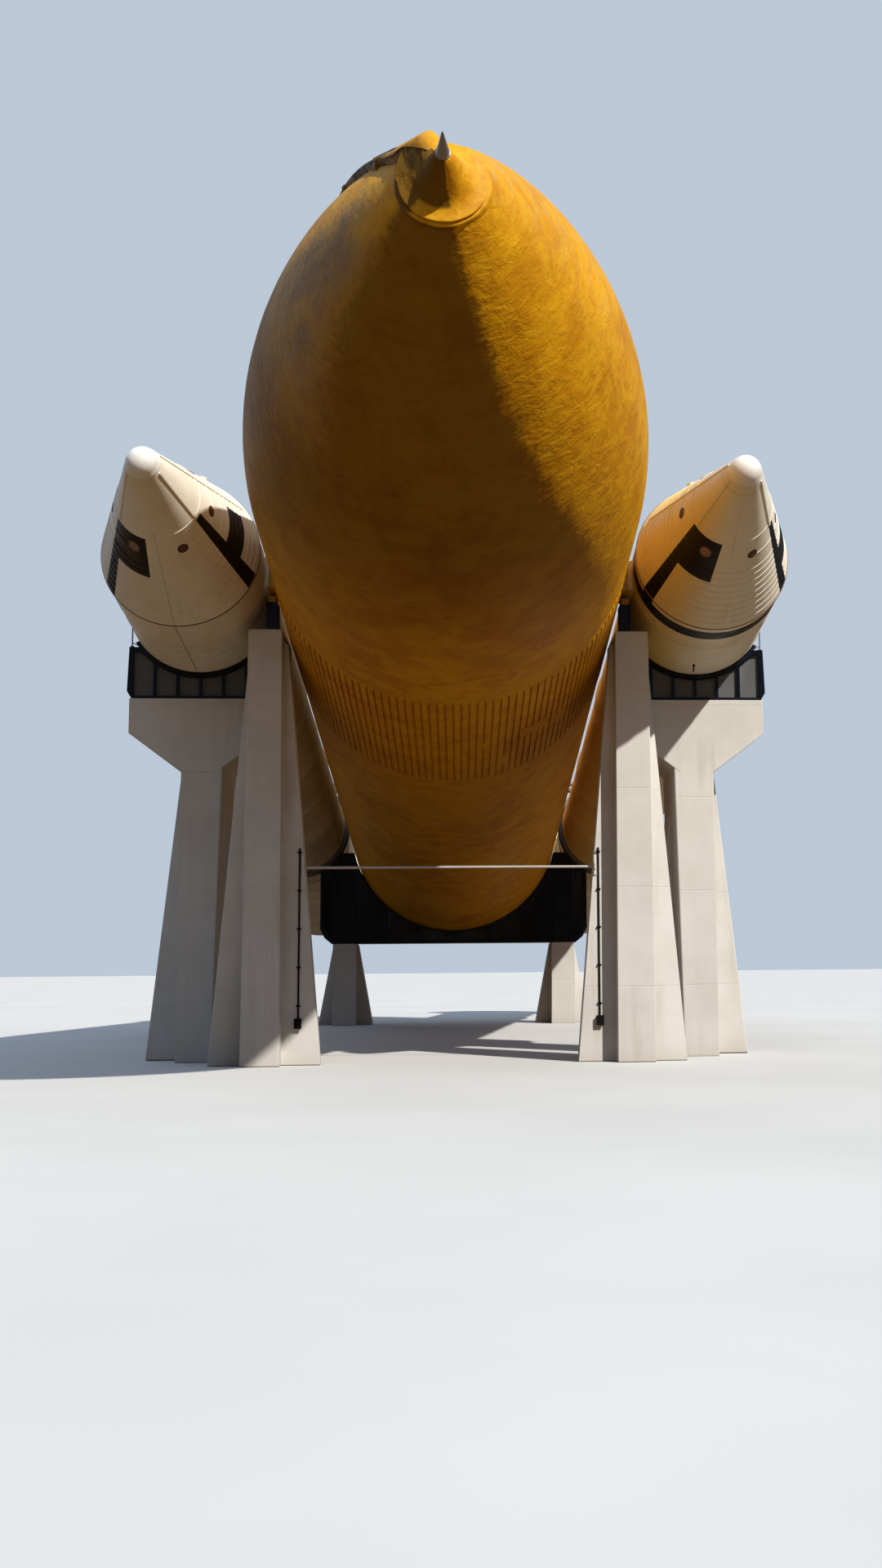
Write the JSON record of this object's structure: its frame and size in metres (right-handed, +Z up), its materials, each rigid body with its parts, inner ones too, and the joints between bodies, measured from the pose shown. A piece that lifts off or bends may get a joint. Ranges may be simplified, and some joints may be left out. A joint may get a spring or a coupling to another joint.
{
  "type": "1:2 scale model of a space rocket parked on piers",
  "caption": "Half-scale space rocket parked nose-up on concrete piers: a large ochre foam-covered tank flanked by white solid boosters, held in black steel cradles.",
  "frame": {"origin": "centre of the footprint of the whole part, on the ground that the piers stand on", "axes": "+Y runs from the noses towards the tail, +X is to the right when the part is looked at from in front of its nose, +Z is up"},
  "size_m": [9.007, 27.7335, 8.5323],
  "materials": {
    "foam": "sprayed insulating foam, sun-bleached ochre, matt",
    "foam_dark": "darker coated foam and sleeves, matt",
    "spike_metal": "bare grey metal, satin",
    "booster_white": "aged off-white paint, semi-matt",
    "cap_white": "white paint, semi-matt",
    "grey_steel": "grey paint, satin",
    "nozzle_dark": "dark heat-resistant coating, matt",
    "concrete": "cream painted concrete, matt, weathered",
    "cradle_black": "black paint, satin",
    "fitting_yellow": "yellow paint, semi-matt"
  },
  "bodies": {
    "rocket": {"aft_crossbeam": "grey_steel", "forward_bipod": "grey_steel", "hydrogen_cable_tray": "foam_dark", "left_aft_skirt": "booster_white", "left_aft_struts": "grey_steel", "left_attach_ring": "grey_steel", "left_cone": "booster_white", "left_forward_fitting": "fitting_yellow", "left_forward_skirt": "booster_white", "left_front_cradle": "cradle_black", "left_inner_pier": "concrete", "left_motor_aft": "booster_white", "left_motor_centre_aft": "booster_white", "left_motor_centre_forward": "booster_white", "left_motor_forward": "booster_white", "left_nose_cap": "cap_white", "left_outer_pier": "concrete", "left_post": "cradle_black", "left_post_cap": "fitting_yellow", "left_rear_pier": "concrete", "left_systems_tunnel": "booster_white", "nose_fairing": "foam", "oxygen_cable_tray": "foam_dark", "oxygen_feedline": "foam_dark", "pressure_line": "foam_dark", "rear_cradle": "cradle_black", "right_aft_skirt": "booster_white", "right_aft_struts": "grey_steel", "right_attach_ring": "grey_steel", "right_cone": "booster_white", "right_forward_fitting": "fitting_yellow", "right_forward_skirt": "booster_white", "right_front_cradle": "cradle_black", "right_inner_pier": "concrete", "right_motor_aft": "booster_white", "right_motor_centre_aft": "booster_white", "right_motor_centre_forward": "booster_white", "right_motor_forward": "booster_white", "right_nose_cap": "cap_white", "right_outer_pier": "concrete", "right_post": "cradle_black", "right_post_cap": "fitting_yellow", "right_rear_pier": "concrete", "right_systems_tunnel": "booster_white", "tank_hydrogen_section": "foam", "tank_intertank": "foam", "tank_nose_cone": "foam", "tank_oxygen_section": "foam", "tank_spike": "spike_metal", "tie_rod": "spike_metal"},
    "left_gimbal": {"left_gimbal_ring": "grey_steel"},
    "right_gimbal": {"right_gimbal_ring": "grey_steel"},
    "left_bell": {"left_nozzle": "nozzle_dark"},
    "right_bell": {"right_nozzle": "nozzle_dark"}
  },
  "joints": [
    {"name": "left_nozzle_rock", "type": "hinge", "parent": "rocket", "child": "left_gimbal", "pos_m": [-3.1815, 12.30603, 3.34843], "axis": [1, 0, 0], "range_deg": [-8, 8]},
    {"name": "left_nozzle_tilt", "type": "hinge", "parent": "left_gimbal", "child": "left_bell", "pos_m": [-3.1815, 12.30603, 3.34843], "axis": [0, 0.1444, 0.9895], "range_deg": [-8, 8]},
    {"name": "right_nozzle_rock", "type": "hinge", "parent": "rocket", "child": "right_gimbal", "pos_m": [3.1815, 12.30603, 3.34843], "axis": [1, 0, 0], "range_deg": [-8, 8]},
    {"name": "right_nozzle_tilt", "type": "hinge", "parent": "right_gimbal", "child": "right_bell", "pos_m": [3.1815, 12.30603, 3.34843], "axis": [0, 0.1444, 0.9895], "range_deg": [-8, 8]}
  ]
}
